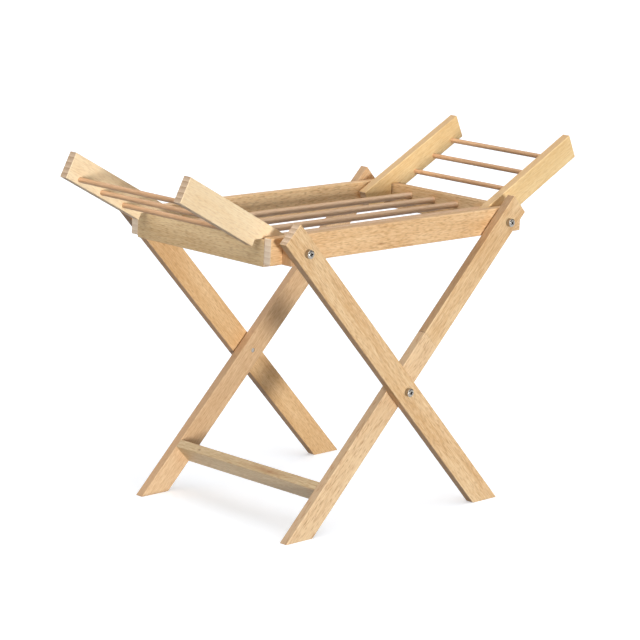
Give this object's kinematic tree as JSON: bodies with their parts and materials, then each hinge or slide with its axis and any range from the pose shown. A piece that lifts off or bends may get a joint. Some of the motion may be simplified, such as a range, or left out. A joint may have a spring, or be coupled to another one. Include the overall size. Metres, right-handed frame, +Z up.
{
  "type": "pasta drying rack",
  "caption": "Folding beech rack for drying fresh pasta, with crossed legs, a dowelled top frame and a hinged wing at each end.",
  "frame": {"origin": "on the floor, in the middle, under the crossing of the legs", "axes": "X along the long rails, Y from the near side to the far side, Z up"},
  "size_m": [0.611, 0.2654, 0.3903],
  "materials": {
    "beech": "planed, unfinished",
    "steel": "zinc plated"
  },
  "bodies": {
    "inner_legs": {"near_inner_leg": "beech", "far_inner_leg": "beech", "stretcher": "beech", "crossing_bolts": "steel", "crossing_washers": "steel", "inner_leg_top_bolts": "steel", "rail_washers": "steel"},
    "outer_legs": {"near_outer_leg": "beech", "far_outer_leg": "beech", "outer_leg_top_bolts": "steel"},
    "top_frame": {"near_long_rail": "beech", "far_long_rail": "beech", "left_cross_rail": "beech", "right_cross_rail": "beech", "near_spacer_block": "beech", "far_spacer_block": "beech", "left_wing_pivot_pins": "steel", "frame_dowel_1": "beech", "frame_dowel_2": "beech", "frame_dowel_3": "beech", "frame_dowel_4": "beech"},
    "left_wing": {"near_left_arm": "beech", "far_left_arm": "beech", "left_arm_washers": "steel", "left_wing_dowel_1": "beech", "left_wing_dowel_2": "beech", "left_wing_dowel_3": "beech"},
    "right_wing": {"near_right_arm": "beech", "far_right_arm": "beech", "right_arm_washers": "steel", "right_wing_dowel_1": "beech", "right_wing_dowel_2": "beech", "right_wing_dowel_3": "beech"}
  },
  "joints": [
    {"name": "leg_fold", "type": "hinge", "parent": "inner_legs", "child": "outer_legs", "pos_m": [0, 0, 0.14247], "axis": [0, 1, 0], "range_deg": [0, 84]},
    {"name": "frame_swing", "type": "hinge", "parent": "inner_legs", "child": "top_frame", "pos_m": [0.16313, 0, 0.30772], "axis": [0, -1, 0], "range_deg": [0, 39.01]},
    {"name": "left_wing_swing", "type": "hinge", "parent": "top_frame", "child": "left_wing", "pos_m": [-0.16313, 0, 0.30772], "axis": [0, 1, 0], "range_deg": [0, 151]},
    {"name": "right_wing_swing", "type": "hinge", "parent": "top_frame", "child": "right_wing", "pos_m": [0.16313, 0, 0.30772], "axis": [0, -1, 0], "range_deg": [0, 151]}
  ],
  "couplings": [
    {"joint": "frame_swing", "follows": "leg_fold", "ratio": 0.46429}
  ]
}
